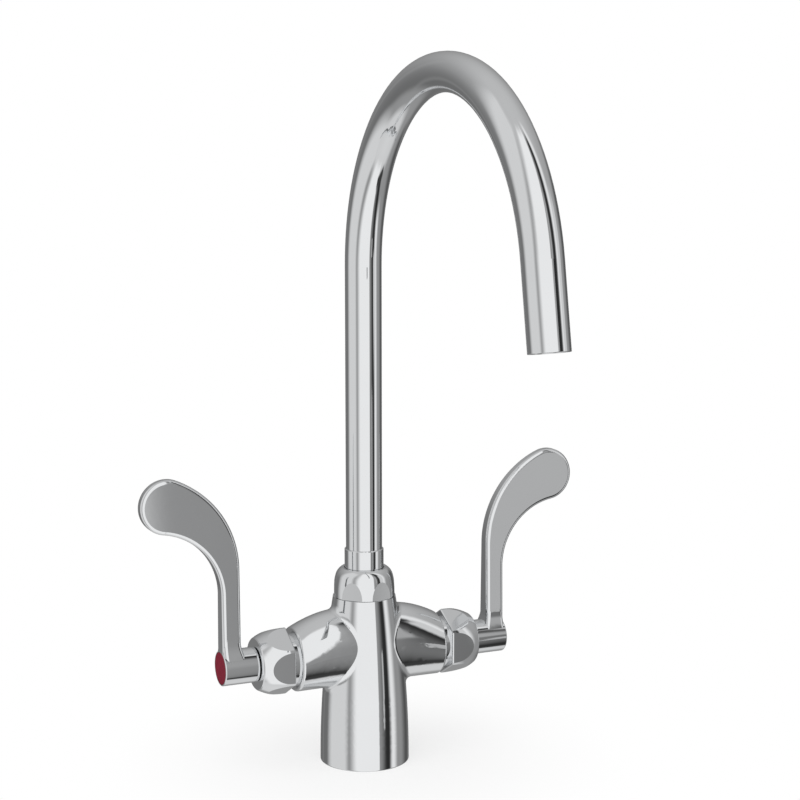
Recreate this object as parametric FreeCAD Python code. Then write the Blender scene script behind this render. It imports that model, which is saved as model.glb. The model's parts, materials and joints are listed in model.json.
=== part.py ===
import FreeCAD, Part
import math
import os

# Deck mount kitchen faucet with two wrist-blade handles and a swivelling gooseneck spout.
# Millimetres, +Z up. The origin is on the deck, on the axis of the column.
# The spout points to -Y, the hot side is at -X and the cold side at +X.

# Clearances
thread_clearance = 0.05
slide_clearance = 0.05
swivel_clearance = 0.08
face_clearance = 0.1
sleeve_clearance = 0.3

# Column of the body casting
base_radius = 23.65
base_edge_round = 0.6
column_shoulder = 6.0

# Arms of the body casting: the underside is level, the top climbs towards the column
handle_height = 59.1
arm_reach = 41.3
arm_shoulder = 2.9
arm_root_widening = 0.4
arm_top_rise = 7.8
arm_crown = 13.2
arm_end_round = 1.5
arm_fillet = 3.5

# Threaded neck at the end of each arm, which carries the bonnet nut
neck_wall = 2.9
neck_length = 10.7

# Waterways and the holes in the underside
inlet_radius = 5.0
inlet_depth = 14.0
waterway_radius = 3.2
seat_port_radius = 3.8
seat_wall = 1.6
passage_radius = 2.0
mixing_radius = 6.0
stud_hole_radius = 4.0
stud_hole_depth = 20.0

# Rubber ring in the underside
base_rim = 1.85
gasket_width = 2.6
gasket_thickness = 2.0
gasket_land = 2.2

# Gooseneck tube
tube_radius = 9.525
tube_wall = 1.2
bend_start = 264.0
bend_radius = 97.7
bend_angle = 169.8
outlet_leg = 39.4
tube_lip = 0.35

# Nipple and sleeve at the foot of the tube, and the swivel inside the spout nut
nipple_step = 0.855
nipple_length = 17.0
nipple_wall = 1.0
sleeve_wall = 0.725
sleeve_rise = 10.2
sleeve_edge_round = 0.4
tube_seat_rise = 1.0
flange_ledge = 2.1
flange_step = 1.0
flange_thickness = 1.8
slip_ring_thickness = 1.0
spout_neck_height = 9.3
spout_ring_inset = 3.7
spout_ring_pitch = 6.1

# Spout nut: side that swells in towards the top, with six flats, and a rounded crown
spout_nut_wall = 2.1
spout_nut_corner = 1.05
spout_nut_side = 11.0
spout_nut_taper = 1.4
spout_nut_crown_width = 1.4
spout_nut_flat_turn = 12.8
spout_nut_cap = 2.0
spout_nut_seam = 0.1
spout_nut_edge = 0.2

# Stream straightener inside the outlet
outlet_recess = 3.0
outlet_housing_length = 9.0
outlet_housing_wall = 1.4
outlet_lip_width = 0.8
outlet_lip_thickness = 1.2
outlet_screen_thickness = 4.0
outlet_screen_hole_radius = 0.55
outlet_screen_pitch = 1.6
outlet_washer_thickness = 1.6

# Bonnet nut: hexagon that rounds off from near its mouth to the rim of a flat end
bonnet_gap = 3.3
bonnet_wall = 1.7
bonnet_corner_trim = 0.4
bonnet_mouth_length = 2.0
bonnet_length = 17.0
bonnet_rim_step = 4.6
bonnet_rim_edge = 0.5
bonnet_mouth_round = 0.9
bonnet_end_wall = 2.6

# Valve cartridge
disc_radius = 7.2
disc_thickness = 2.6
disc_port_radius = 6.2
disc_port_web = 1.6
cage_wall = 1.5
cage_clearance = 1.2
cage_roof = 3.3
water_gap = 2.2
window_width = 8.0
cartridge_flange_step = 1.3
cartridge_flange_thickness = 2.4
cartridge_neck_wall = 3.9
seat_seal_thickness = 2.4
seat_seal_land = 0.4
valve_slip_ring_thickness = 0.8

# Stem
stem_radius = 4.5
stem_foot_thickness = 2.4
stem_foot_width = 6.0
stem_tongue_width = 3.0
stem_tongue_depth = 0.9
stem_ring_inset = 9.0
stem_ring_pitch = 6.4
spline_teeth = 16
spline_step = 0.2
spline_depth = 0.5
clip_thickness = 0.8
clip_depth = 0.8
clip_stand_out = 1.5
clip_opening = 60.0
clip_room = 0.9

# Handle: hub, shank and blade. Heights of the blade are measured from the handle axis.
hub_gap = 0.4
hub_radius = 9.2
hub_length = 18.7
hub_edge_round = 0.5
shank_setback = 0.1
shank_width = 10.1
shank_thickness = 10.2
shank_flare_height = 16.0
shank_flare_foot = 5.0
shank_flare_reach = 2.0
shank_flare_inset = 0.3
blade_tip_thickness = 5.8
blade_tip_offset = 46.2
blade_tip_height = 87.3
blade_tip_radius = 14.1
blade_convex_radius = 52.0
blade_concave_radius = 35.0
blade_edge_round = 2.0

# Handle screw and index disc
screw_radius = 2.0
screw_length = 9.0
screw_head_radius = 3.6
screw_head_height = 2.0
screw_slot_width = 1.0
screw_slot_depth = 1.0
screw_slot_reach = 2.5
hub_web = 1.8
hub_rim = 0.8
index_thickness = 1.3
index_edge = 0.3

# Seals: wire radius of the rings, and how far they stand out of their grooves
small_ring_wire = 0.8
large_ring_wire = 0.95
ring_stand_out = 0.03

# Modelling: sections of the arm and of the flare, overrun of the cuts, and what counts as touching
arm_spans = 4
flare_spans = 4
cut_overrun = 1.0
touching = 0.01

# Radii of the spout and of what it turns in, from the tube outwards
tube_bore = tube_radius - tube_wall
nipple_radius = tube_radius - nipple_step
socket_radius = nipple_radius + swivel_clearance
sleeve_bore = tube_radius + slide_clearance
sleeve_radius = sleeve_bore + sleeve_wall
flange_radius = sleeve_radius + flange_ledge
spout_neck_radius = flange_radius + flange_step
spout_nut_flats = 2 * (spout_neck_radius + spout_nut_wall)
spout_nut_radius = spout_nut_flats / 2 + spout_nut_corner
spout_nut_hole = sleeve_radius + sleeve_clearance
spout_nut_top_radius = spout_nut_hole + spout_nut_crown_width
column_top_radius = spout_nut_radius

# Radii of a valve and of the arm round it, from the discs outwards
disc_chamber_radius = disc_radius + face_clearance
cage_radius = disc_chamber_radius + cage_wall
valve_bore = cage_radius + water_gap
barrel_radius = valve_bore - face_clearance
neck_radius = valve_bore + neck_wall
arm_end_radius = neck_radius + arm_shoulder
arm_root_half_width = arm_end_radius + arm_root_widening
passage_rise = valve_bore - passage_radius - face_clearance
cartridge_flange_radius = neck_radius - cartridge_flange_step
cartridge_neck_radius = stem_radius + cartridge_neck_wall
stem_bore = stem_radius + swivel_clearance
stem_foot_radius = disc_radius - face_clearance
spline_radius = stem_radius - spline_step
spline_root = spline_radius - spline_depth
bonnet_flats = 2 * (neck_radius + bonnet_wall)
bonnet_radius = bonnet_flats / math.sqrt(3) - bonnet_corner_trim
bonnet_rim_radius = hub_radius + bonnet_rim_step
index_radius = hub_radius - hub_rim

# Holes in the underside, from the rim inwards
gasket_outer_radius = base_radius - base_rim
gasket_inner_radius = gasket_outer_radius - gasket_width
inlet_offset = gasket_inner_radius - gasket_land - inlet_radius

# Heights of the column and the swivel, upwards
mixing_floor = handle_height + passage_rise - passage_radius
column_height = handle_height + arm_end_radius + arm_top_rise + column_shoulder
spout_nut_bottom = column_height + spout_nut_seam
spout_neck_top = column_height + spout_neck_height
bearing_top = spout_neck_top + slip_ring_thickness
flange_bottom = bearing_top + face_clearance
flange_top = flange_bottom + flange_thickness
friction_ring_bottom = flange_top + face_clearance
spout_nut_ceiling = friction_ring_bottom + slip_ring_thickness
spout_nut_top = spout_nut_ceiling + spout_nut_cap
sleeve_top = spout_nut_top + sleeve_rise
tube_foot = flange_top + tube_seat_rise
nipple_bottom = spout_neck_top - nipple_length
socket_floor = nipple_bottom - face_clearance
spout_ring_heights = [nipple_bottom + spout_ring_inset + spout_ring_pitch * ring for ring in range(2)]

# Places along the handle axis, from the column outwards
valve_seat = inlet_offset + waterway_radius + seat_wall
cage_start = valve_seat + cage_clearance
fixed_disc_start = valve_seat + seat_seal_thickness
moving_disc_start = fixed_disc_start + disc_thickness + slide_clearance
stem_foot_start = moving_disc_start + disc_thickness
stem_foot_end = stem_foot_start + stem_foot_thickness
valve_slip_start = stem_foot_end + slide_clearance
cartridge_ceiling = valve_slip_start + valve_slip_ring_thickness
cage_end = cartridge_ceiling + cage_roof
stem_ring_places = [cartridge_ceiling + stem_ring_inset + stem_ring_pitch * ring for ring in range(2)]
barrel_ring_place = arm_reach
neck_end = arm_reach + neck_length
flange_end = neck_end + cartridge_flange_thickness
bonnet_start = arm_reach + bonnet_gap
bonnet_end = bonnet_start + bonnet_length
bonnet_cavity_end = bonnet_end - bonnet_end_wall
clip_end = bonnet_cavity_end - clip_room
clip_start = clip_end - clip_thickness
cartridge_end = clip_start - face_clearance
hub_start = bonnet_end + hub_gap
hub_end = hub_start + hub_length
shank_outer = hub_end - shank_setback
shank_inner = shank_outer - shank_width
index_floor = hub_end - index_thickness
screw_seat = index_floor - face_clearance - screw_head_height
stem_end = screw_seat - hub_web

# Stream straightener, with heights along the way the water leaves, from its outer face
outlet_housing_radius = tube_bore - slide_clearance
outlet_housing_bore = outlet_housing_radius - outlet_housing_wall
outlet_lip_radius = outlet_housing_bore - outlet_lip_width
outlet_screen_bottom = -outlet_lip_thickness - outlet_screen_thickness
outlet_screen_rings = int((outlet_lip_radius - outlet_screen_hole_radius) / outlet_screen_pitch)

SIDES = {"cold": 0.0, "hot": 180.0}
AXIS_X = FreeCAD.Vector(1, 0, 0)
AXIS_Y = FreeCAD.Vector(0, 1, 0)
AXIS_Z = FreeCAD.Vector(0, 0, 1)
ORIGIN = FreeCAD.Vector(0, 0, 0)
HANDLE_AXIS = FreeCAD.Vector(0, 0, handle_height)


def point(x, z):
    """A point in the XZ plane, where every turned profile and flat outline is drawn."""
    return FreeCAD.Vector(x, 0, z)


def polyline(points):
    """Straight edges through the points."""
    return [Part.LineSegment(a, b).toShape() for a, b in zip(points, points[1:])]


def loop(corners):
    """Straight edges through the corners and back to the first."""
    return polyline(corners + corners[:1])


def arc(start, middle, end):
    return Part.Arc(start, middle, end).toShape()


def arc_about(centre, start, end):
    """The shorter arc round centre from start to end."""
    reach = (start - centre).Length
    return arc(start, centre + ((start + end) * 0.5 - centre).normalize() * reach, end)


def swell(start, end, way):
    """An arc that leaves start in the direction way and curves to reach end."""
    ahead = FreeCAD.Vector(way).normalize()
    chord = end - start
    aside = (chord - ahead * chord.dot(ahead)).normalize()
    radius = chord.dot(chord) / (2 * chord.dot(aside))
    return arc_about(start + aside * radius, start, end)


def arrival(start, end, way):
    """The direction in which the arc that leaves start in the direction way reaches end."""
    chord = end - start
    return chord * (2 * chord.dot(way) / chord.dot(chord)) - way


def face(edges):
    return Part.Face(Part.Wire(edges))


def upright_rod(radius, bottom, top, x=0):
    """Round bar parallel to the column."""
    return Part.makeCylinder(radius, top - bottom, point(x, bottom), AXIS_Z)


def turned(edges):
    """Solid of revolution about the column axis."""
    return face(edges).revolve(ORIGIN, AXIS_Z, 360)


def turned_ring(inner, outer, bottom, top):
    """Plain ring about the column axis."""
    return turned(loop([point(inner, bottom), point(outer, bottom), point(outer, top), point(inner, top)]))


def arm_point(place, radius):
    """A point beside the handle axis, at a place along it."""
    return point(place, handle_height + radius)


def arm_turned(edges):
    """Solid of revolution about the handle axis of the cold side."""
    return face(edges).revolve(HANDLE_AXIS, AXIS_X, 360)


def arm_steps(*steps):
    """Turned piece on the handle axis from (place, radius) corners, closed along the axis."""
    first, last = steps[0][0], steps[-1][0]
    corners = [arm_point(*step) for step in steps]
    return arm_turned(loop([arm_point(first, 0)] + corners + [arm_point(last, 0)]))


def arm_rod(radius, start, end):
    return Part.makeCylinder(radius, end - start, arm_point(start, 0), AXIS_X)


def arm_ring(inner, outer, start, end):
    return arm_rod(outer, start, end).cut(arm_rod(inner, start, end))


def arm_bar(width, height, start, end):
    """Square-cornered bar centred on the handle axis."""
    corner = FreeCAD.Vector(start, -width / 2, handle_height - height / 2)
    return Part.makeBox(end - start, width, height, corner)


def hexagon(across_flats, length, base, axis, flat_direction):
    """Hexagonal bar from base along axis, with one flat facing flat_direction."""
    corner = across_flats / math.sqrt(3)
    spoke = FreeCAD.Vector(flat_direction).normalize() * corner
    corners = []
    for step in range(6):
        turn = FreeCAD.Rotation(axis, 30 + 60 * step)
        corners.append(base + turn.multVec(spoke))
    return face(loop(corners)).extrude(axis * length)


def middle_of(edge):
    return edge.valueAt((edge.FirstParameter + edge.LastParameter) / 2)


def edges_on(shape, guides):
    """Edges of the shape whose middle lies on one of the guide curves."""
    guide = Part.makeCompound(guides)
    return [edge for edge in shape.Edges if Part.Vertex(middle_of(edge)).distToShape(guide)[0] < touching]


def arm_share(place):
    """How far a place is from the crown of the arm to its end, from 0 to 1."""
    return max(0.0, (place - arm_crown) / (arm_reach - arm_crown))


def arm_section(place):
    """Oval cross-section of the arm: level underside, climbing top."""
    share = arm_share(place)
    half_width = arm_root_half_width + (arm_end_radius - arm_root_half_width) * share
    half_height = arm_end_radius + arm_top_rise * (1 - share ** 2) / 2
    stretch = FreeCAD.Matrix()
    stretch.scale(1, half_width, half_height)
    stretch.move(arm_point(place, half_height - arm_end_radius))
    return Part.Wire(Part.makeCircle(1, ORIGIN, AXIS_X).transformGeometry(stretch))


def arm_blank():
    """Outer form of the cold arm, rounded at its end."""
    span = (arm_reach - arm_crown) / arm_spans
    places = [arm_crown / 2] + [arm_crown + span * step for step in range(arm_spans + 1)]
    blank = Part.makeLoft([arm_section(place) for place in places], True)
    rim = Part.makeCircle(arm_end_radius, arm_point(arm_reach, 0), AXIS_X)
    return blank.makeFillet(arm_end_round, edges_on(blank, [rim]))


def to_side(shape, turn):
    """Copy of a cold-side shape, turned about the column to its own side."""
    placed = shape.copy()
    placed.rotate(ORIGIN, AXIS_Z, turn)
    return placed


def both_sides(shape):
    return [to_side(shape, turn) for turn in SIDES.values()]


def arm_cuts():
    """Valve chamber and waterways of the cold arm."""
    passage_foot = arm_point(0, passage_rise)
    return [
        arm_rod(valve_bore, valve_seat, neck_end + cut_overrun),
        arm_rod(seat_port_radius, inlet_offset - seat_port_radius, valve_seat),
        upright_rod(waterway_radius, 0, handle_height, inlet_offset),
        upright_rod(inlet_radius, 0, inlet_depth, inlet_offset),
        Part.makeCylinder(passage_radius, valve_seat + cut_overrun, passage_foot, AXIS_X),
    ]


def body_casting():
    base = point(base_radius, 0)
    shoulder = point(column_top_radius, column_height)
    rest = [
        shoulder, point(spout_neck_radius, column_height), point(spout_neck_radius, spout_neck_top),
        point(0, spout_neck_top), ORIGIN, base,
    ]
    column = turned([swell(base, shoulder, AXIS_Z)] + polyline(rest))
    foot_rim = Part.makeCircle(base_radius, ORIGIN, AXIS_Z)
    column = column.makeFillet(base_edge_round, edges_on(column, [foot_rim]))
    arms = both_sides(arm_blank())
    joins = [column.section(arm) for arm in arms]
    casting = column.fuse(arms)
    casting = casting.makeFillet(arm_fillet, edges_on(casting, joins))
    casting = casting.fuse(both_sides(arm_rod(neck_radius, valve_seat, neck_end)))
    cuts = [
        upright_rod(stud_hole_radius, 0, stud_hole_depth),
        turned_ring(gasket_inner_radius, gasket_outer_radius, 0, gasket_thickness),
        upright_rod(socket_radius, socket_floor, spout_neck_top),
        upright_rod(mixing_radius, mixing_floor, spout_neck_top),
    ]
    for cut in arm_cuts():
        cuts += both_sides(cut)
    return casting.cut(cuts).removeSplitter()


def deck_gasket():
    return turned_ring(gasket_inner_radius + slide_clearance, gasket_outer_radius - slide_clearance,
                       0, gasket_thickness)


def spout_nut():
    side_foot = point(spout_nut_radius, spout_nut_bottom + spout_nut_edge)
    side_top = point(spout_nut_radius - spout_nut_taper, spout_nut_bottom + spout_nut_side)
    crown = point(spout_nut_top_radius, spout_nut_top)
    thread = spout_neck_radius + thread_clearance
    cavity = flange_radius + sleeve_clearance
    inside = [
        crown, point(spout_nut_hole, spout_nut_top), point(spout_nut_hole, spout_nut_ceiling),
        point(cavity, spout_nut_ceiling), point(cavity, spout_neck_top), point(thread, spout_neck_top),
        point(thread, spout_nut_bottom), point(spout_nut_radius - spout_nut_edge, spout_nut_bottom),
        side_foot,
    ]
    side = swell(side_foot, side_top, AXIS_Z)
    shoulder = swell(side_top, crown, arrival(side_foot, side_top, AXIS_Z))
    blank = turned([side, shoulder] + polyline(inside))
    flat_direction = FreeCAD.Rotation(AXIS_Z, spout_nut_flat_turn).multVec(-AXIS_Y)
    bar_length = spout_nut_top - spout_nut_bottom
    bar = hexagon(spout_nut_flats, bar_length, point(0, spout_nut_bottom), AXIS_Z, flat_direction)
    return blank.common(bar)


def swivel_bearing():
    return turned_ring(nipple_radius + sleeve_clearance, flange_radius, spout_neck_top, bearing_top)


def friction_ring():
    return turned_ring(spout_nut_hole, flange_radius, friction_ring_bottom, spout_nut_ceiling)


def ring_groove(wire):
    """Depth and half width of the groove that holds a sealing ring."""
    return 2 * wire - ring_stand_out, wire + face_clearance


def ring_middle(surface, wire):
    """Radius of a sealing ring's centre line, for the surface that its groove is cut into."""
    return surface + ring_stand_out - wire


def spout_nipple():
    depth, half = ring_groove(large_ring_wire)
    groove = nipple_radius - depth
    bore = groove - nipple_wall
    outline = [point(bore, nipple_bottom), point(nipple_radius, nipple_bottom)]
    for height in spout_ring_heights:
        outline += [
            point(nipple_radius, height - half), point(groove, height - half),
            point(groove, height + half), point(nipple_radius, height + half),
        ]
    outline += [
        point(nipple_radius, flange_bottom), point(flange_radius, flange_bottom),
        point(flange_radius, flange_top), point(sleeve_radius, flange_top),
        point(sleeve_radius, sleeve_top - sleeve_edge_round),
        point(sleeve_radius - sleeve_edge_round, sleeve_top), point(sleeve_bore, sleeve_top),
        point(sleeve_bore, tube_foot), point(bore, tube_foot),
    ]
    return turned(loop(outline))


def spout_orings():
    middle = ring_middle(nipple_radius, large_ring_wire)
    rings = [Part.makeTorus(middle, large_ring_wire, point(0, height)) for height in spout_ring_heights]
    return Part.makeCompound(rings)


def outlet_frame():
    """Centre of the outlet and the direction in which the water leaves."""
    turn = math.radians(bend_angle)
    direction = FreeCAD.Vector(0, -math.sin(turn), math.cos(turn))
    bend_end_y = bend_radius * (math.cos(turn) - 1)
    bend_end_z = bend_start + bend_radius * math.sin(turn)
    return FreeCAD.Vector(0, bend_end_y, bend_end_z) + direction * outlet_leg, direction


def tube_rod(radius):
    """The gooseneck's run as a solid bar: riser, bend and outlet leg."""
    outlet, direction = outlet_frame()
    riser = upright_rod(radius, tube_foot, bend_start)
    section = face([Part.makeCircle(radius, point(0, bend_start), AXIS_Z)])
    bend = section.revolve(FreeCAD.Vector(0, -bend_radius, bend_start), AXIS_X, bend_angle)
    leg = Part.makeCylinder(radius, outlet_leg, outlet - direction * outlet_leg, direction)
    return riser.fuse([bend, leg])


def spout_tube():
    outlet, direction = outlet_frame()
    tube = tube_rod(tube_radius).cut(tube_rod(tube_bore)).removeSplitter()
    rims = [Part.makeCircle(radius, outlet, direction) for radius in (tube_radius, tube_bore)]
    return tube.makeFillet(tube_lip, edges_on(tube, rims))


def in_outlet(shape):
    """Places a shape built along +Z, with its outer face at height 0, in the tube's end."""
    outlet, direction = outlet_frame()
    seat = outlet - direction * outlet_recess
    placed = shape.copy()
    placed.Placement = FreeCAD.Placement(seat, FreeCAD.Rotation(AXIS_Z, direction))
    return placed


def outlet_housing():
    sleeve = turned_ring(outlet_housing_bore, outlet_housing_radius, -outlet_housing_length, 0)
    lip = turned_ring(outlet_lip_radius, outlet_housing_bore, -outlet_lip_thickness, 0)
    return in_outlet(sleeve.fuse(lip).removeSplitter())


def outlet_screen():
    """Perforated disc on the housing's lip: holes on a hexagonal grid."""
    radius = outlet_housing_bore - slide_clearance
    disc = upright_rod(radius, outlet_screen_bottom, -outlet_lip_thickness)
    holes = []
    for row in range(-outlet_screen_rings, outlet_screen_rings + 1):
        count = 2 * outlet_screen_rings + 1 - abs(row)
        y = row * outlet_screen_pitch * math.sqrt(3) / 2
        for column in range(count):
            x = (column - (count - 1) / 2) * outlet_screen_pitch
            foot = FreeCAD.Vector(x, y, outlet_screen_bottom)
            holes.append(Part.makeCylinder(outlet_screen_hole_radius, outlet_screen_thickness, foot, AXIS_Z))
    return in_outlet(disc.cut(holes))


def outlet_washer():
    bottom = -outlet_housing_length - outlet_washer_thickness
    return in_outlet(turned_ring(outlet_lip_radius, outlet_housing_radius, bottom, -outlet_housing_length))


def bonnet_nut():
    side_start = arm_point(bonnet_start + bonnet_mouth_length, bonnet_radius)
    rim = arm_point(bonnet_end - bonnet_rim_edge, bonnet_rim_radius)
    thread = neck_radius + thread_clearance
    shoulder = cartridge_flange_radius + thread_clearance
    cavity = cartridge_neck_radius + sleeve_clearance
    hole = stem_radius + sleeve_clearance
    outline = [
        rim, arm_point(bonnet_end, bonnet_rim_radius - bonnet_rim_edge), arm_point(bonnet_end, hole),
        arm_point(bonnet_cavity_end, hole), arm_point(bonnet_cavity_end, cavity),
        arm_point(flange_end, cavity), arm_point(flange_end, shoulder),
        arm_point(neck_end, shoulder), arm_point(neck_end, thread),
        arm_point(bonnet_start, thread), arm_point(bonnet_start, bonnet_radius), side_start,
    ]
    blank = arm_turned([swell(side_start, rim, AXIS_X)] + polyline(outline))
    bar = hexagon(bonnet_flats, bonnet_length, arm_point(bonnet_start, 0), AXIS_X, -AXIS_Y)
    mouth = [edge for edge in bar.Edges if edge.BoundBox.XMax < bonnet_start + touching]
    return blank.common(bar.makeFillet(bonnet_mouth_round, mouth))


def cartridge_body():
    depth, half = ring_groove(small_ring_wire)
    groove = barrel_radius - depth
    blank = arm_steps(
        (cage_start, cage_radius), (cage_end, cage_radius),
        (cage_end, barrel_radius), (barrel_ring_place - half, barrel_radius),
        (barrel_ring_place - half, groove), (barrel_ring_place + half, groove),
        (barrel_ring_place + half, barrel_radius), (neck_end, barrel_radius),
        (neck_end, cartridge_flange_radius), (flange_end, cartridge_flange_radius),
        (flange_end, cartridge_neck_radius), (cartridge_end, cartridge_neck_radius),
    )
    chamber = arm_rod(disc_chamber_radius, cage_start, cartridge_ceiling)
    stem_hole = arm_rod(stem_bore, cage_start, cartridge_end)
    window = arm_bar(window_width, 2 * cage_radius, stem_foot_start, cartridge_ceiling)
    return blank.cut([chamber, stem_hole, window])


def cartridge_oring():
    middle = ring_middle(barrel_radius, small_ring_wire)
    return Part.makeTorus(middle, small_ring_wire, arm_point(barrel_ring_place, 0), AXIS_X)


def disc_ports(start, direction):
    """Two opposite quarter openings through a valve disc, turned to direction."""
    bore = arm_rod(disc_port_radius, start, start + disc_thickness)
    quarter = Part.makeBox(disc_thickness, disc_radius, disc_radius)
    quarter.translate(FreeCAD.Vector(start, disc_port_web, disc_port_web))
    ports = []
    for turn in (0, 180):
        port = quarter.copy()
        port.rotate(ORIGIN, AXIS_X, turn + direction)
        port.translate(HANDLE_AXIS)
        ports.append(port.common(bore))
    return ports


def fixed_disc():
    disc = arm_rod(disc_radius, fixed_disc_start, fixed_disc_start + disc_thickness)
    return disc.cut(disc_ports(fixed_disc_start, 45))


def stem_tongue(spare):
    """Bar on the stem's foot that turns the moving disc."""
    width = stem_tongue_width + 2 * spare
    start = stem_foot_start - stem_tongue_depth - spare
    return arm_bar(width, 2 * disc_radius, start, stem_foot_start)


def moving_disc():
    """Closed at rest: its openings lie a quarter turn away from those of the fixed disc."""
    disc = arm_rod(disc_radius, moving_disc_start, stem_foot_start)
    return disc.cut(disc_ports(moving_disc_start, -45) + [stem_tongue(slide_clearance)])


def seat_seal():
    return arm_ring(seat_port_radius + seat_seal_land, disc_radius, valve_seat, fixed_disc_start)


def slip_ring():
    return arm_ring(stem_radius + face_clearance, disc_radius, valve_slip_start, cartridge_ceiling)


def spline(start, end, spare):
    """Toothed bar on the handle axis, grown by spare for the socket that takes it."""
    corners = []
    for tooth in range(2 * spline_teeth):
        radius = spare + (spline_root if tooth % 2 else spline_radius)
        turn = math.pi * tooth / spline_teeth
        height = handle_height + radius * math.sin(turn)
        corners.append(FreeCAD.Vector(start, radius * math.cos(turn), height))
    return face(loop(corners)).extrude(AXIS_X * (end - start))


def stem():
    """Shaft with seal grooves and a clip groove, a flat foot with a tongue, and a splined end."""
    depth, half = ring_groove(small_ring_wire)
    groove = stem_radius - depth
    clip_groove = stem_radius - clip_depth
    steps = [(stem_foot_end, stem_radius)]
    for place in stem_ring_places:
        steps += [
            (place - half, stem_radius), (place - half, groove),
            (place + half, groove), (place + half, stem_radius),
        ]
    steps += [(clip_start, stem_radius), (clip_start, clip_groove), (clip_end, clip_groove)]
    steps += [(clip_end, stem_radius), (bonnet_end, stem_radius)]
    foot = stem_tongue(0).fuse(arm_bar(stem_foot_width, 2 * disc_radius, stem_foot_start, stem_foot_end))
    foot = foot.common(arm_rod(stem_foot_radius, moving_disc_start, stem_foot_end))
    shaft = arm_steps(*steps).fuse([foot, spline(bonnet_end, stem_end, 0)])
    tapped_start = screw_seat - screw_length - face_clearance
    tapped = arm_rod(screw_radius + thread_clearance, tapped_start, stem_end)
    return shaft.cut(tapped).removeSplitter()


def stem_orings():
    middle = ring_middle(stem_radius, small_ring_wire)
    centres = [arm_point(place, 0) for place in stem_ring_places]
    rings = [Part.makeTorus(middle, small_ring_wire, centre, AXIS_X) for centre in centres]
    return Part.makeCompound(rings)


def stem_clip():
    """Open clip in the stem's groove, with its mouth upwards."""
    clip_radius = stem_radius + clip_stand_out
    ring = arm_ring(stem_radius - clip_depth + slide_clearance, clip_radius, clip_start, clip_end)
    reach = 2 * clip_radius
    spread = reach * math.tan(math.radians(clip_opening / 2))
    axis = arm_point(clip_start, 0)
    mouth = [axis, axis + FreeCAD.Vector(0, spread, reach), axis + FreeCAD.Vector(0, -spread, reach)]
    return ring.cut(face(loop(mouth)).extrude(AXIS_X * clip_thickness))


def blade_arc_centre(start_x, reach, tip):
    """Centre, over start_x, of an arc that is tangent to the upright shank and to the round tip."""
    return point(start_x, tip.z - math.sqrt(reach ** 2 - (tip.x - start_x) ** 2))


def blade_outline():
    """Front view of shank and blade: straight shank, then arcs tangent to the round tip."""
    tip = arm_point(hub_start + blade_tip_offset, blade_tip_height)
    convex_reach = blade_convex_radius - blade_tip_radius
    concave_reach = blade_concave_radius + blade_tip_radius
    convex = blade_arc_centre(shank_inner + blade_convex_radius, convex_reach, tip)
    concave = blade_arc_centre(shank_outer + blade_concave_radius, concave_reach, tip)
    inner_start = point(shank_inner, convex.z)
    inner_end = tip + (tip - convex).normalize() * blade_tip_radius
    outer_end = tip + (concave - tip).normalize() * blade_tip_radius
    outer_start = point(shank_outer, concave.z)
    outward = point(inner_end.z - outer_end.z, outer_end.x - inner_end.x).normalize()
    far_point = tip + outward * blade_tip_radius
    feet = [outer_start, arm_point(shank_outer, 0), arm_point(shank_inner, 0), inner_start]
    return [
        arc_about(convex, inner_start, inner_end),
        arc(inner_end, far_point, outer_end),
        arc_about(concave, outer_end, outer_start),
    ] + polyline(feet)


def blade_side():
    """Side view: an even taper from the hub's axis to one tip radius above the blade."""
    top = blade_tip_height + 2 * blade_tip_radius
    shank, tip = shank_thickness / 2, blade_tip_thickness / 2
    corners = [(-shank, 0), (shank, 0), (tip, top), (-tip, top)]
    return loop([FreeCAD.Vector(hub_start, y, handle_height + height) for y, height in corners])


def rounded_oblong(low_x, high_x, half_y, height):
    """Level oblong with round corners, as a section of the shank's flare."""
    radius = blade_edge_round
    inset = radius * (1 - math.sqrt(0.5))
    z = handle_height + height
    corners = [(high_x, half_y, 1, 1), (low_x, half_y, -1, 1)]
    corners += [(low_x, -half_y, -1, -1), (high_x, -half_y, 1, -1)]
    rounds = []
    for x, y, way_x, way_y in corners:
        beside = FreeCAD.Vector(x, y - way_y * radius, z)
        above = FreeCAD.Vector(x - way_x * radius, y, z)
        middle = FreeCAD.Vector(x - way_x * inset, y - way_y * inset, z)
        first, last = (beside, above) if way_x == way_y else (above, beside)
        rounds.append((first, middle, last))
    edges = []
    for index, (first, middle, last) in enumerate(rounds):
        following = rounds[(index + 1) % len(rounds)][0]
        edges += [arc(first, middle, last), Part.LineSegment(last, following).toShape()]
    return Part.Wire(edges)


def shank_flare():
    """Foot of the shank, widening to the front, the back and the nut side where it joins the hub."""
    high_x = shank_outer - shank_flare_inset
    top_x, foot_x = shank_inner + shank_flare_inset, shank_inner - shank_flare_reach
    top_y = shank_thickness / 2 - shank_flare_inset
    foot_y = math.sqrt(hub_radius ** 2 - shank_flare_foot ** 2) - slide_clearance
    sections = []
    for step in range(flare_spans + 1):
        share = step / flare_spans
        growth = share ** 2
        height = shank_flare_height + (shank_flare_foot - shank_flare_height) * share
        low_x = top_x + (foot_x - top_x) * growth
        half_y = top_y + (foot_y - top_y) * growth
        sections.append(rounded_oblong(low_x, high_x, half_y, height))
    return Part.makeLoft(sections, True)


def handle_blade():
    """Shank and blade, with every edge that runs up the handle rounded."""
    stock = 2 * shank_thickness
    outline = face(blade_outline())
    outline.translate(FreeCAD.Vector(0, -stock / 2, 0))
    reach = blade_tip_offset + 2 * blade_tip_radius
    blade = outline.extrude(AXIS_Y * stock).common(face(blade_side()).extrude(AXIS_X * reach))
    rounded = []
    for edge in blade.Edges:
        across = abs(edge.tangentAt(edge.FirstParameter).dot(AXIS_Y)) > 1 - touching
        if middle_of(edge).z > handle_height + touching and not across:
            rounded.append(edge)
    return blade.makeFillet(blade_edge_round, rounded)


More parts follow.
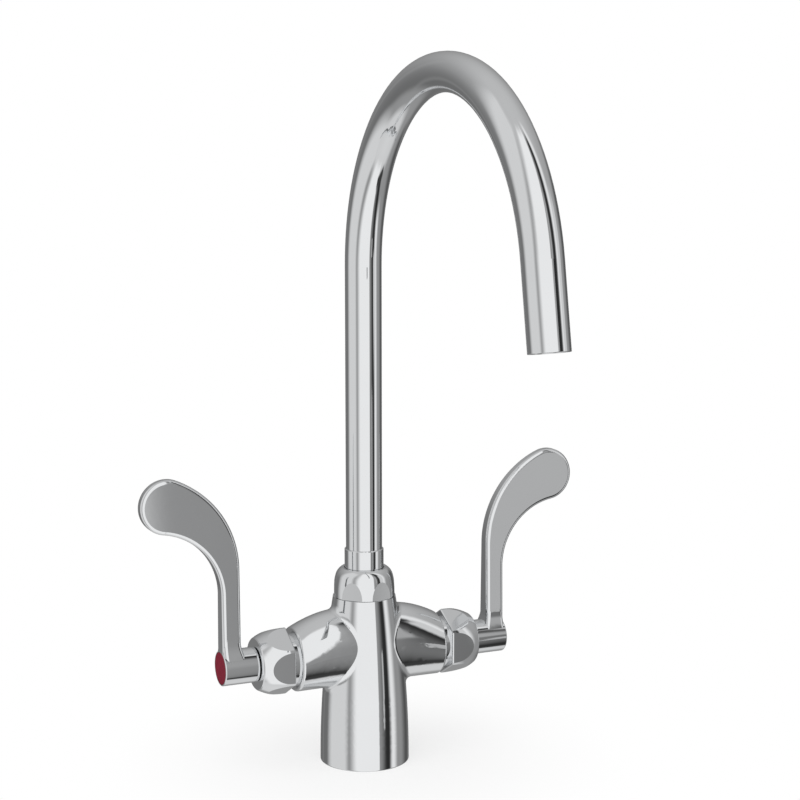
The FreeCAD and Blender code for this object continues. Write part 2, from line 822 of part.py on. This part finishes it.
def handle():
    hub = arm_rod(hub_radius, hub_start, hub_end)
    rims = [Part.makeCircle(hub_radius, arm_point(place, 0), AXIS_X) for place in (hub_start, hub_end)]
    hub = hub.makeFillet(hub_edge_round, edges_on(hub, rims))
    lever = hub.fuse([handle_blade(), shank_flare()])
    cuts = [
        spline(hub_start, stem_end + face_clearance, slide_clearance),
        arm_rod(screw_radius + face_clearance, hub_start, hub_end),
        arm_rod(screw_head_radius + sleeve_clearance, screw_seat, hub_end),
        arm_rod(index_radius + slide_clearance, index_floor, hub_end),
    ]
    return lever.cut(cuts)


def handle_screw():
    head_end = screw_seat + screw_head_height
    screw = arm_steps((screw_seat - screw_length, screw_radius), (screw_seat, screw_radius),
                      (screw_seat, screw_head_radius), (head_end, screw_head_radius))
    slot_start = head_end - screw_slot_depth
    slots = [arm_bar(screw_slot_width, 2 * screw_slot_reach, slot_start, head_end),
             arm_bar(2 * screw_slot_reach, screw_slot_width, slot_start, head_end)]
    return screw.cut(slots)


def index_disc():
    return arm_steps((index_floor, index_radius), (hub_end - index_edge, index_radius),
                     (hub_end, index_radius - index_edge))


CENTRE_PIECES = {
    "body_casting": body_casting,
    "deck_gasket": deck_gasket,
    "spout_nut": spout_nut,
    "swivel_bearing": swivel_bearing,
    "friction_ring": friction_ring,
    "spout_tube": spout_tube,
    "spout_nipple": spout_nipple,
    "spout_orings": spout_orings,
    "outlet_housing": outlet_housing,
    "outlet_screen": outlet_screen,
    "outlet_washer": outlet_washer,
}

SIDE_PIECES = {
    "bonnet_nut": bonnet_nut,
    "cartridge_body": cartridge_body,
    "cartridge_oring": cartridge_oring,
    "fixed_disc": fixed_disc,
    "seat_seal": seat_seal,
    "slip_ring": slip_ring,
    "handle": handle,
    "handle_screw": handle_screw,
    "index": index_disc,
    "stem": stem,
    "stem_orings": stem_orings,
    "stem_clip": stem_clip,
    "moving_disc": moving_disc,
}

os.makedirs("parts", exist_ok=True)
for name, make in CENTRE_PIECES.items():
    make().exportStep("parts/" + name + ".step")
for name, make in SIDE_PIECES.items():
    piece = make()
    for side, turn in SIDES.items():
        to_side(piece, turn).exportStep("parts/" + side + "_" + name + ".step")
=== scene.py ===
import json
import math
from typing import NamedTuple

import bpy
from bpy.props import FloatProperty, FloatVectorProperty, PointerProperty
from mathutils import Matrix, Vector


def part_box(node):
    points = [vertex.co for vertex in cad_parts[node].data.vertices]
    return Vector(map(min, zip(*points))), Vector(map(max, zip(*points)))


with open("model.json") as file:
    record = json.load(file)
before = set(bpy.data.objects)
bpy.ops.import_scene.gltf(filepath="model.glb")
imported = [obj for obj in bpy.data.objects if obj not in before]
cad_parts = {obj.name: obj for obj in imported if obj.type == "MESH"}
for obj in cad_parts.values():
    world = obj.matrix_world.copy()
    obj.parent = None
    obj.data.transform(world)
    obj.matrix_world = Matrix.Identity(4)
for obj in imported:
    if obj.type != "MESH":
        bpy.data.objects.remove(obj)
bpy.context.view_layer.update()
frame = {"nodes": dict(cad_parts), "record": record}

bl_info = {
    "name": "Deck Mount Kitchen Faucet",
    "version": (1, 0, 0),
    "blender": (4, 5, 0),
    "location": "3D View > Sidebar > Faucet",
    "description": "Finishes of the faucet's pieces and the studio that shows them",
    "category": "Material",
}

# The record gives every slot's colour and the nodes that take it.
SLOT_COLOUR = {entry["slot"]: tuple(entry["base_color"]) for entry in frame["record"]["materials"]}
SLOT_OF_NODE = {entry["node"]: entry["material_slot"] for entry in frame["record"]["subparts"]}

MILLIMETRE = 0.001
MICRON = 0.000001


def grey(level):
    """An opaque grey, where 1 is white."""
    return (level, level, level, 1.0)


WHITE = grey(1.0)

# Pieces whose plate lies on drawn tube or on a casting. The other plated pieces are turned.
DRAWN_PIECES = ["spout_tube", "spout_nipple"]
CAST_PIECES = ["body_casting", "hot_handle", "cold_handle"]

# Sizes of what shows in the plate.
SMUDGE_SIZE = 18 * MILLIMETRE
HAZE_SIZE = 1.5 * MILLIMETRE
RIPPLE_SIZE = 2.4 * MILLIMETRE
GRAIN_WIDTH = 0.8 * MILLIMETRE
GRAIN_LENGTH = 60 * MILLIMETRE
# The plate's roughness where it is clean, and what smudges and haze add, as shares of its setting.
CLEAN_SHARE = 0.7
SMUDGE_SHARE = 0.4
HAZE_SHARE = 0.2
SMUDGE_SHADE = 0.03

# Dull patches on machined metal, and how far its turned grooves wander.
PATCH_SIZE = 6 * MILLIMETRE
PATCH_SHADE = 0.12
PATCH_ROUGHNESS = 0.1
GROOVE_WANDER = 0.4

# Clouds in the colour of moulded pieces, and what they and the skin add to the roughness.
CLOUD_SIZE = 8 * MILLIMETRE
CLOUD_SHADE = 0.08
CLOUD_ROUGHNESS = 0.08
SKIN_ROUGHNESS = 0.05

# Places of a colour Mix node's sockets: its factor, its two colours and the mixed colour.
MIX_FACTOR = 0
MIX_FIRST = 6
MIX_SECOND = 7
MIX_RESULT = 2


def colour_property(slot, label, description):
    """A colour setting that starts from the record's colour for a slot."""
    return FloatVectorProperty(name=label, description=description, subtype="COLOR", size=3, min=0.0, max=1.0,
                               default=SLOT_COLOUR[slot])


def length_property(label, description, default):
    """A length setting in metres."""
    return FloatProperty(name=label, description=description, subtype="DISTANCE", unit="LENGTH", min=0.0,
                         precision=6, default=default)


def angle_property(label, description, degrees):
    """An angle setting, given here in degrees."""
    return FloatProperty(name=label, description=description, subtype="ANGLE", unit="ROTATION",
                         default=math.radians(degrees))


def share_property(label, description, default):
    """A setting between 0 and 1."""
    return FloatProperty(name=label, description=description, subtype="FACTOR", min=0.0, max=1.0,
                         default=default)


class FaucetFinishes(bpy.types.PropertyGroup):
    """Colours and surface relief of the finishes."""

    chrome: colour_property("chrome", "Chrome", "Colour of the plated pieces")
    chrome_roughness: share_property("Chrome roughness", "How far the polished plate blurs what it mirrors",
                                     0.035)
    polish_relief: length_property("Polish relief", "Height of the ripples that polishing leaves",
                                  1.2 * MICRON)
    draw_relief: length_property("Draw relief", "Height of the lines along the drawn tube", 0.4 * MICRON)
    cast_relief: length_property("Cast relief", "Height of the fine grain on castings and nuts",
                                0.15 * MICRON)
    brass: colour_property("brass", "Brass", "Colour of the cartridges and stems")
    steel: colour_property("steel", "Steel", "Colour of the screws and clips")
    turning_relief: length_property("Turning relief", "Height of the grooves that turning leaves",
                                   4.0 * MICRON)
    turning_pitch: length_property("Turning pitch", "Distance between turned grooves", 0.25 * MILLIMETRE)
    rubber: colour_property("rubber", "Rubber", "Colour of the seals and the gasket")
    ceramic: colour_property("ceramic", "Ceramic", "Colour of the valve discs")
    slip_plastic: colour_property("slip_plastic", "Slip plastic", "Colour of the bearings and slip rings")
    outlet_plastic: colour_property("outlet_plastic", "Outlet plastic", "Colour of the stream straightener")
    hot_index: colour_property("red_index", "Hot index", "Colour of the hot handle's disc")
    cold_index: colour_property("blue_index", "Cold index", "Colour of the cold handle's disc")


class FaucetStage(bpy.types.PropertyGroup):
    """The camera, the floor and the studio."""

    azimuth: angle_property("Azimuth", "Turn of the camera from the front, positive to the right", -24.23)
    elevation: angle_property("Elevation", "Height of the camera above the horizon", 8.85)
    distance: length_property("Distance", "From the camera to the point that it looks at", 1.01516)
    target: FloatVectorProperty(name="Target", description="The point that the camera looks at",
                                subtype="TRANSLATION", unit="LENGTH", size=3,
                                default=(0.01731, -0.00775, 0.19395))
    lens: FloatProperty(name="Lens", description="Focal length for a 36 mm sensor", unit="CAMERA",
                        default=87.63)
    floor_radius: length_property("Floor radius", "Where the shadow on the white floor has faded out", 0.15)
    floor_shadow: share_property("Floor shadow", "How much of the shadow the floor shows round the foot", 0.3)
    studio_radius: length_property("Studio radius", "From the faucet to the studio's walls", 12.0)
    lamp_power: FloatProperty(name="Lamp power", description="Power of the soft lamp overhead", unit="POWER",
                              default=30.0)


class Value:
    """A shader socket that takes part in Python arithmetic: each operation adds a Math node."""

    def __init__(self, finish, socket):
        self.finish = finish
        self.socket = socket

    def maths(self, operation, first, second):
        return self.finish.node("ShaderNodeMath", {"operation": operation}, {0: first, 1: second})

    def __add__(self, other):
        return self.maths("ADD", self, other)

    def __radd__(self, other):
        return self.maths("ADD", other, self)

    def __sub__(self, other):
        return self.maths("SUBTRACT", self, other)

    def __rsub__(self, other):
        return self.maths("SUBTRACT", other, self)

    def __mul__(self, other):
        return self.maths("MULTIPLY", self, other)

    def __rmul__(self, other):
        return self.maths("MULTIPLY", other, self)


def set_stops(ramp, stops):
    """Gives a ramp its stops in rising order, each a place from 0 to 1 and a grey level."""
    while len(ramp.elements) < len(stops):
        ramp.elements.new(1.0)
    for element, (place, level) in zip(ramp.elements, stops):
        element.position = place
        element.color = grey(level)


class Finish:
    """A material or a world, and the nodes that make it."""

    def __init__(self, holder):
        holder.use_nodes = True
        self.holder = holder
        self.tree = holder.node_tree
        self.tree.nodes.clear()

    def node(self, kind, settings, sockets, output=0):
        """Adds a node, sets its settings, then its sockets, and gives one of its outputs if it has any."""
        made = self.tree.nodes.new(kind)
        for name, setting in settings.items():
            if name == "stops":
                set_stops(made.color_ramp, setting)
            else:
                setattr(made, name, setting)
        for key, value in sockets.items():
            if isinstance(value, Value):
                self.tree.links.new(value.socket, made.inputs[key])
            else:
                made.inputs[key].default_value = value
        if not made.outputs:
            return None
        return Value(self, made.outputs[output])

    def place(self):
        """The point on the surface, in metres."""
        return self.node("ShaderNodeTexCoord", {}, {}, "Object")

    def stretched(self, scale):
        """The point on the surface, with each axis scaled."""
        return self.node("ShaderNodeVectorMath", {"operation": "MULTIPLY"}, {0: self.place(), 1: scale})

    def noise(self, size, detail, place=None):
        """Smooth noise from 0 to 1, with features of a size in metres, or in the units of a scaled place."""
        where = place or self.place()
        return self.node("ShaderNodeTexNoise", {}, {"Vector": where, "Scale": 1.0 / size, "Detail": detail})

    def soft_step(self, value, low, high):
        """0 below low and 1 above high, with a soft change between."""
        return self.node("ShaderNodeMapRange", {"interpolation_type": "SMOOTHSTEP"},
                         {"Value": value, "From Min": low, "From Max": high})

    def shade(self, colour, amount, by):
        """A colour that darkens by an amount where a value is 0."""
        darker = [channel * (1.0 - amount) for channel in colour]
        return self.node("ShaderNodeMix", {"data_type": "RGBA"},
                         {MIX_FACTOR: by, MIX_FIRST: (*darker, 1.0), MIX_SECOND: (*colour, 1.0)}, MIX_RESULT)

    def bump(self, height, relief, under=None):
        """The normal of a relief whose height goes from 0 to 1, over another relief's normal if given."""
        sockets = {"Height": height, "Distance": relief, "Strength": 1.0}
        if under is not None:
            sockets["Normal"] = under
        return self.node("ShaderNodeBump", {}, sockets)

    def glow(self, colour):
        """Plain light at the level of its colour."""
        return self.node("ShaderNodeEmission", {}, {"Color": colour, "Strength": 1.0})

    def mixed(self, share, first, second):
        """Two shaders in one, with a share of the second."""
        return self.node("ShaderNodeMixShader", {}, {0: share, 1: first, 2: second})

    def surface(self, shader, output="ShaderNodeOutputMaterial"):
        """Joins a shader to the output."""
        self.node(output, {}, {"Surface": shader})

    def principled(self, **sockets):
        """A Principled shader; socket names have _ for a space."""
        named = {name.replace("_", " "): value for name, value in sockets.items()}
        return self.node("ShaderNodeBsdfPrincipled", {}, named)


def new_finish(name):
    """The finish of a new material."""
    return Finish(bpy.data.materials.new(name))


def dress(finish, nodes):
    """Gives a finish to some of the frame's nodes."""
    for name in nodes:
        for slot in frame["nodes"][name].material_slots:
            slot.material = finish.holder


def nodes_in_slot(slot):
    """The frame's nodes that take their finish from a slot of the record."""
    found = [node for node, taken in SLOT_OF_NODE.items() if taken == slot]
    if not found:
        raise RuntimeError("no piece has the finish " + slot)
    return found


def plated(name, finishes, grain_scale, grain_relief):
    """Polished chrome plate: soft smudges in the polish, fine ripples, and grain along one way."""
    finish = new_finish(name)
    smudges = finish.noise(SMUDGE_SIZE, detail=3.0)
    haze = finish.noise(HAZE_SIZE, detail=4.0)
    ripples = finish.noise(RIPPLE_SIZE, detail=1.0)
    grain = finish.noise(1.0, detail=3.0, place=finish.stretched(grain_scale))
    rippled = finish.bump(ripples, finishes.polish_relief)
    roughness = finishes.chrome_roughness * (CLEAN_SHARE + SMUDGE_SHARE * smudges + HAZE_SHARE * haze)
    finish.surface(finish.principled(Base_Color=finish.shade(finishes.chrome, SMUDGE_SHADE, smudges),
                                     Metallic=1.0, Roughness=roughness,
                                     Normal=finish.bump(grain, grain_relief, rippled)))
    return finish


def machined(name, colour, finishes, roughness):
    """Metal turned about the X axis: grooves, dull patches and a colour that varies a little."""
    finish = new_finish(name)
    patches = finish.noise(PATCH_SIZE, detail=3.0)
    along = finish.stretched((1.0 / finishes.turning_pitch, 0.0, 0.0))
    grooves = finish.node("ShaderNodeTexWave", {"wave_type": "BANDS", "bands_direction": "X"},
                          {"Vector": along, "Scale": 1.0, "Distortion": GROOVE_WANDER, "Detail": 2.0}, "Fac")
    finish.surface(finish.principled(Base_Color=finish.shade(colour, PATCH_SHADE, patches), Metallic=1.0,
                                     Roughness=roughness + PATCH_ROUGHNESS * patches,
                                     Normal=finish.bump(grooves, finishes.turning_relief)))
    return finish


def moulded(name, colour, roughness, relief, grain_size, specular=0.5):
    """Moulded rubber, plastic or pressed ceramic: a fine skin and a colour that varies a little."""
    finish = new_finish(name)
    clouds = finish.noise(CLOUD_SIZE, detail=2.0)
    skin = finish.noise(grain_size, detail=3.0)
    varied = roughness + CLOUD_ROUGHNESS * clouds + SKIN_ROUGHNESS * skin
    finish.surface(finish.principled(Base_Color=finish.shade(colour, CLOUD_SHADE, clouds), Metallic=0.0,
                                     Roughness=varied, Specular_IOR_Level=specular,
                                     Normal=finish.bump(skin, relief)))
    return finish


class FAUCET_OT_plate(bpy.types.Operator):
    """Plate the casting, nuts, handles and spout with polished chrome"""

    bl_idname = "faucet.plate"
    bl_label = "Chrome Plate"

    def execute(self, context):
        finishes = context.scene.faucet_finishes
        fine = 1.0 / GRAIN_WIDTH
        long = 1.0 / GRAIN_LENGTH
        turned_pieces = [node for node in nodes_in_slot("chrome") if node not in DRAWN_PIECES + CAST_PIECES]
        dress(plated("cast_chrome", finishes, (fine, fine, fine), finishes.cast_relief), CAST_PIECES)
        dress(plated("drawn_chrome", finishes, (fine, fine, long), finishes.draw_relief), DRAWN_PIECES)
        dress(plated("turned_chrome", finishes, (long, fine, fine), finishes.cast_relief), turned_pieces)
        return {"FINISHED"}


class FAUCET_OT_machine(bpy.types.Operator):
    """Finish the brass cartridges and stems and the steel screws and clips as machined metal"""

    bl_idname = "faucet.machine"
    bl_label = "Machined Metal"

    def execute(self, context):
        finishes = context.scene.faucet_finishes
        brass = machined("machined_brass", finishes.brass, finishes, roughness=0.22)
        steel = machined("bright_steel", finishes.steel, finishes, roughness=0.28)
        dress(brass, nodes_in_slot("brass"))
        dress(steel, nodes_in_slot("steel"))
        return {"FINISHED"}


class FAUCET_OT_seal(bpy.types.Operator):
    """Finish the gasket, O-rings and seals in black rubber"""

    bl_idname = "faucet.seal"
    bl_label = "Rubber Seals"

    def execute(self, context):
        rubber = moulded("black_rubber", context.scene.faucet_finishes.rubber, roughness=0.6,
                         relief=12 * MICRON, grain_size=0.4 * MILLIMETRE, specular=0.3)
        dress(rubber, nodes_in_slot("rubber"))
        return {"FINISHED"}


class FAUCET_OT_valve_discs(bpy.types.Operator):
    """Finish the ceramic valve discs"""

    bl_idname = "faucet.valve_discs"
    bl_label = "Valve Discs"

    def execute(self, context):
        ceramic = moulded("lapped_ceramic", context.scene.faucet_finishes.ceramic, roughness=0.2,
                          relief=2 * MICRON, grain_size=0.15 * MILLIMETRE)
        dress(ceramic, nodes_in_slot("ceramic"))
        return {"FINISHED"}


class FAUCET_OT_mould(bpy.types.Operator):
    """Finish the slip rings, bearings and the stream straightener as moulded plastic"""

    bl_idname = "faucet.mould"
    bl_label = "Moulded Plastic"

    def execute(self, context):
        finishes = context.scene.faucet_finishes
        slip = moulded("slip_plastic", finishes.slip_plastic, roughness=0.3, relief=3 * MICRON,
                       grain_size=0.3 * MILLIMETRE)
        outlet = moulded("outlet_plastic", finishes.outlet_plastic, roughness=0.42, relief=6 * MICRON,
                         grain_size=0.3 * MILLIMETRE)
        dress(slip, nodes_in_slot("slip_plastic"))
        dress(outlet, nodes_in_slot("outlet_plastic"))
        return {"FINISHED"}


class FAUCET_OT_index(bpy.types.Operator):
    """Colour the index discs in the ends of the handles, red for hot and blue for cold"""

    bl_idname = "faucet.index"
    bl_label = "Index Discs"

    def execute(self, context):
        finishes = context.scene.faucet_finishes
        for slot, colour in (("red_index", finishes.hot_index), ("blue_index", finishes.cold_index)):
            disc = moulded(slot, colour, roughness=0.3, relief=4 * MICRON, grain_size=0.5 * MILLIMETRE,
                           specular=0.08)
            dress(disc, nodes_in_slot(slot))
        return {"FINISHED"}


class Card(NamedTuple):
    """A card of the studio that gives plain light and fades out over its edges.

    Its turn is from the front, positive to the right, and its height is above the horizon. soft is the
    width of its soft sides, and fade is the depth of its soft bottom and top. All four are pairs in
    degrees. Its level is a grey, where 1 is white. A card with a lean turns further to the right as it
    gets away from the horizon. A card beside a piece is seen from that piece's middle, at a distance in
    metres, so it shows mostly in that piece.
    """

    name: str
    turn: tuple
    height: tuple
    soft: tuple
    fade: tuple
    level: float
    lean: float = 0.0
    beside: str = ""
    distance: float = 0.0


# The studio's wall, as pairs of a height above the horizon in degrees and a grey level, where 1 is white.
WALL_LEVELS = (
    (-90, 0.80), (-64, 0.74), (-52, 0.36), (-37, 0.33), (-15, 0.33), (0, 0.34),
    (20, 0.42), (32, 0.44), (42, 0.485), (54, 0.555), (66, 0.60), (90, 0.62),
)
# The cards round the whole faucet, in the order in which they stand one before the other.
CARDS = (
    Card("right_dark", turn=(84, 136), height=(-45, 26), soft=(30, 14), fade=(18, 18), level=0.10),
    Card("left_dark", turn=(196, 232), height=(-40, 45), soft=(8, 14), fade=(18, 65), level=0.18),
    Card("back_dark", turn=(118, 206), height=(-40, 45), soft=(20, 14), fade=(18, 65), level=0.17),
    Card("left_fill", turn=(-140, -62), height=(-70, 75), soft=(24, 16), fade=(14, 14), level=0.78),
    Card("front_softbox", turn=(-67, 16.5), height=(-75, 82), soft=(25, 2.5), fade=(10, 10), level=1.02,
         lean=20),
    Card("black_flag", turn=(16, 56), height=(-66, 74), soft=(22, 10), fade=(10, 10), level=0.03, lean=8),
    Card("low_gap", turn=(16, 66), height=(-63.5, -49.5), soft=(6, 10), fade=(4.5, 6), level=0.05),
    Card("pale_strip", turn=(22.5, 30.5), height=(3, 50), soft=(2.5, 3), fade=(8, 15), level=0.45, lean=8),
    Card("strip_light", turn=(43, 74), height=(-40, 76), soft=(13, 16), fade=(18, 10), level=0.95, lean=8),
)
# The small cards that stand near one piece.
NEAR_CARDS = (
    Card("blade_card", turn=(25, 30.8), height=(-17.5, -5.6), soft=(0.8, 0.8), fade=(1, 1), level=0.52,
         beside="cold_handle", distance=2.0),
    Card("arm_card", turn=(35, 58), height=(4, 52), soft=(6, 8), fade=(8, 12), level=0.74,
         beside="cold_bonnet_nut", distance=0.6),
)
# Degrees between the points of a card's mesh.
CARD_STEP = 3
# The step from one card to the next, as a share of the studio's radius.
CARD_SPACING = 0.02
STUDIO_MIDDLE = Vector((0.0, 0.0, 0.15))

# The floor's shadow is whole up to this share of its radius.
SHADOW_CORE = 0.15
FLOOR_SIDES = 96
FLOOR_GREY = 0.95
FLOOR_ROUGHNESS = 0.6
FLOOR_SPECULAR = 0.1

LAMP_PLACE = (-1.2, -1.2, 2.2)
LAMP_WIDTH = 3.0

SENSOR_WIDTH = 36.0
NEAREST_SEEN = 0.01


def add_object(name, data):
    """Puts an object into the scene."""
    made = bpy.data.objects.new(name, data)
    bpy.context.scene.collection.objects.link(made)
    return made


def turn_back_to(holder, direction):
    """Turns a lamp or the camera so that its back is towards a direction."""
    holder.rotation_mode = "QUATERNION"
    holder.rotation_quaternion = direction.to_track_quat("Z", "Y")


def stage_mesh(name, points, faces, finish):
    """A mesh object of the stage."""
    mesh = bpy.data.meshes.new(name)
    mesh.from_pydata(points, [], faces)
    mesh.materials.append(finish.holder)
    made = add_object(name, mesh)
    return made


def on_sphere(radius, turn, height):
    """The point of a sphere at a turn from the front and a height above the horizon, in degrees."""
    around = math.radians(turn)
    above = math.radians(height)
    flat = math.cos(above)
    return Vector((math.sin(around) * flat, -math.cos(around) * flat, math.sin(above))) * radius


def sphere_patch(name, middle, radius, turn, height, lean, finish):
    """A patch of a sphere that the camera doesn't see, with UVs in degrees from its lower left corner."""
    width = turn[1] - turn[0]
    rise = height[1] - height[0]
    columns = max(2, round(width / CARD_STEP))
    rows = max(2, round(rise / CARD_STEP))
    points = []
    places = []
    for row in range(rows + 1):
        up = rise * row / rows
        shift = lean * (1.0 - math.cos(math.radians(height[0] + up)))
        for column in range(columns + 1):
            across = width * column / columns
            points.append(on_sphere(radius, turn[0] + across + shift, height[0] + up))
            places.append((across, up))
    faces = []
    for row in range(rows):
        for column in range(columns):
            corner = row * (columns + 1) + column
            faces.append((corner, corner + 1, corner + columns + 2, corner + columns + 1))
    patch = stage_mesh(name, points, faces, finish)
    patch.location = middle
    patch.visible_camera = False
    uv = patch.data.uv_layers.new(name="across_and_up")
    for loop in patch.data.loops:
        uv.data[loop.index].uv = places[loop.vertex_index]


def degrees_along(finish, axis):
    """Degrees across a patch, for X, or up it, for Y."""
    across_and_up = finish.node("ShaderNodeUVMap", {"uv_map": "across_and_up"}, {})
    return finish.node("ShaderNodeSeparateXYZ", {}, {0: across_and_up}, axis)


def studio_wall(radius):
    """The wall all round, which gets lighter up to the ceiling and down to the ground."""
    lowest = WALL_LEVELS[0][0]
    highest = WALL_LEVELS[-1][0]
    whole = highest - lowest
    stops = [((height - lowest) / whole, level) for height, level in WALL_LEVELS]
    finish = new_finish("studio_wall")
    up = degrees_along(finish, "Y") * (1.0 / whole)
    finish.surface(finish.glow(finish.node("ShaderNodeValToRGB", {"stops": stops}, {0: up})))
    sphere_patch("studio_wall", STUDIO_MIDDLE, radius, (-180, 180), (lowest, highest), 0.0, finish)


def stand_card(card, middle, radius):
    """Stands a card on a sphere round a middle, with light that fades out over the card's edges."""
    finish = new_finish(card.name)
    inside = 1.0
    for axis, span, edges in (("X", card.turn, card.soft), ("Y", card.height, card.fade)):
        along = degrees_along(finish, axis)
        size = span[1] - span[0]
        inside = inside * finish.soft_step(along, 0.0, edges[0])
        inside = inside * (1.0 - finish.soft_step(along, size - edges[1], size))
    clear = finish.node("ShaderNodeBsdfTransparent", {}, {})
    finish.surface(finish.mixed(inside, clear, finish.glow(grey(card.level))))
    sphere_patch(card.name, middle, radius, card.turn, card.height, card.lean, finish)


def studio_cards(radius):
    """The cards in front of the wall, each a little nearer than the last, and the cards near a piece."""
    for number, card in enumerate(CARDS, start=1):
        stand_card(card, STUDIO_MIDDLE, radius * (1.0 - number * CARD_SPACING))
    for card in NEAR_CARDS:
        lowest, highest = (Vector(corner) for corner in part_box(card.beside))
        stand_card(card, (lowest + highest) / 2, card.distance)


def white_floor(radius, shadow):
    """A white floor that keeps a faint shadow round the foot and isn't mirrored in the plate."""
    finish = new_finish("white_floor")
    from_centre = finish.node("ShaderNodeVectorMath", {"operation": "LENGTH"}, {0: finish.place()}, "Value")
    near = 1.0 - finish.soft_step(from_centre, SHADOW_CORE * radius, radius)
    seen = finish.node("ShaderNodeLightPath", {}, {}, "Is Camera Ray")
    matt = finish.principled(Base_Color=grey(FLOOR_GREY), Roughness=FLOOR_ROUGHNESS,
                             Specular_IOR_Level=FLOOR_SPECULAR)
    finish.surface(finish.mixed(seen * (1.0 - shadow * near), matt, finish.glow(WHITE)))
    corners = [math.tau * side / FLOOR_SIDES for side in range(FLOOR_SIDES)]
    rim = [(radius * math.cos(corner), radius * math.sin(corner), 0.0) for corner in corners]
    floor = stage_mesh("floor", rim, [tuple(range(FLOOR_SIDES))], finish)
    floor.visible_glossy = False


def soft_lamp(power):
    """A wide lamp above and in front that brings plain colours to their own level and isn't mirrored."""
    lamp = bpy.data.lights.new("soft_lamp", "AREA")
    lamp.shape = "DISK"
    lamp.size = LAMP_WIDTH
    lamp.energy = power
    holder = add_object("soft_lamp", lamp)
    holder.location = LAMP_PLACE
    holder.visible_glossy = False
    turn_back_to(holder, holder.location)


def white_world(scene):
    """A plain white background."""
    scene.world = bpy.data.worlds.new("white_background")
    finish = Finish(scene.world)
    background = finish.node("ShaderNodeBackground", {}, {"Color": WHITE, "Strength": 1.0})
    finish.surface(background, "ShaderNodeOutputWorld")


def photo_camera(scene, stage):
    """The camera at the photograph's viewing angle."""
    camera = bpy.data.cameras.new("camera")
    camera.sensor_width = SENSOR_WIDTH
    camera.lens = stage.lens
    camera.clip_start = NEAREST_SEEN
    back = on_sphere(1.0, math.degrees(stage.azimuth), math.degrees(stage.elevation))
    holder = add_object("camera", camera)
    holder.location = Vector(stage.target) + back * stage.distance
    turn_back_to(holder, back)
    scene.camera = holder


class FAUCET_OT_stage(bpy.types.Operator):
    """Set up the camera, the white floor and background, the soft lamp and the studio's cards"""

    bl_idname = "faucet.stage"
    bl_label = "Studio"

    def execute(self, context):
        scene = context.scene
        stage = scene.faucet_stage
        photo_camera(scene, stage)
        white_world(scene)
        white_floor(stage.floor_radius, stage.floor_shadow)
        soft_lamp(stage.lamp_power)
        studio_wall(stage.studio_radius)
        studio_cards(stage.studio_radius)
        scene.view_settings.view_transform = "Standard"
        return {"FINISHED"}


class FAUCET_PT_sidebar(bpy.types.Panel):
    """Lists the faucet's finishes and stage"""

    bl_idname = "FAUCET_PT_sidebar"
    bl_label = "Faucet"
    bl_space_type = "VIEW_3D"
    bl_region_type = "UI"
    bl_category = "Faucet"

    def draw(self, context):
        for operator in OPERATORS:
            self.layout.operator(operator.bl_idname)
        for settings in (context.scene.faucet_finishes, context.scene.faucet_stage):
            for name in settings.__annotations__:
                self.layout.prop(settings, name)


OPERATORS = (FAUCET_OT_plate, FAUCET_OT_machine, FAUCET_OT_seal, FAUCET_OT_valve_discs, FAUCET_OT_mould,
             FAUCET_OT_index, FAUCET_OT_stage)
CLASSES = (FaucetFinishes, FaucetStage, *OPERATORS, FAUCET_PT_sidebar)


def register():
    for registered in CLASSES:
        bpy.utils.register_class(registered)
    bpy.types.Scene.faucet_finishes = PointerProperty(type=FaucetFinishes)
    bpy.types.Scene.faucet_stage = PointerProperty(type=FaucetStage)


def unregister():
    del bpy.types.Scene.faucet_stage
    del bpy.types.Scene.faucet_finishes
    for registered in reversed(CLASSES):
        bpy.utils.unregister_class(registered)


def main():
    """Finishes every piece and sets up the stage."""
    register()
    bpy.ops.faucet.plate()
    bpy.ops.faucet.machine()
    bpy.ops.faucet.seal()
    bpy.ops.faucet.valve_discs()
    bpy.ops.faucet.mould()
    bpy.ops.faucet.index()
    bpy.ops.faucet.stage()


if __name__ == "__main__":
    main()
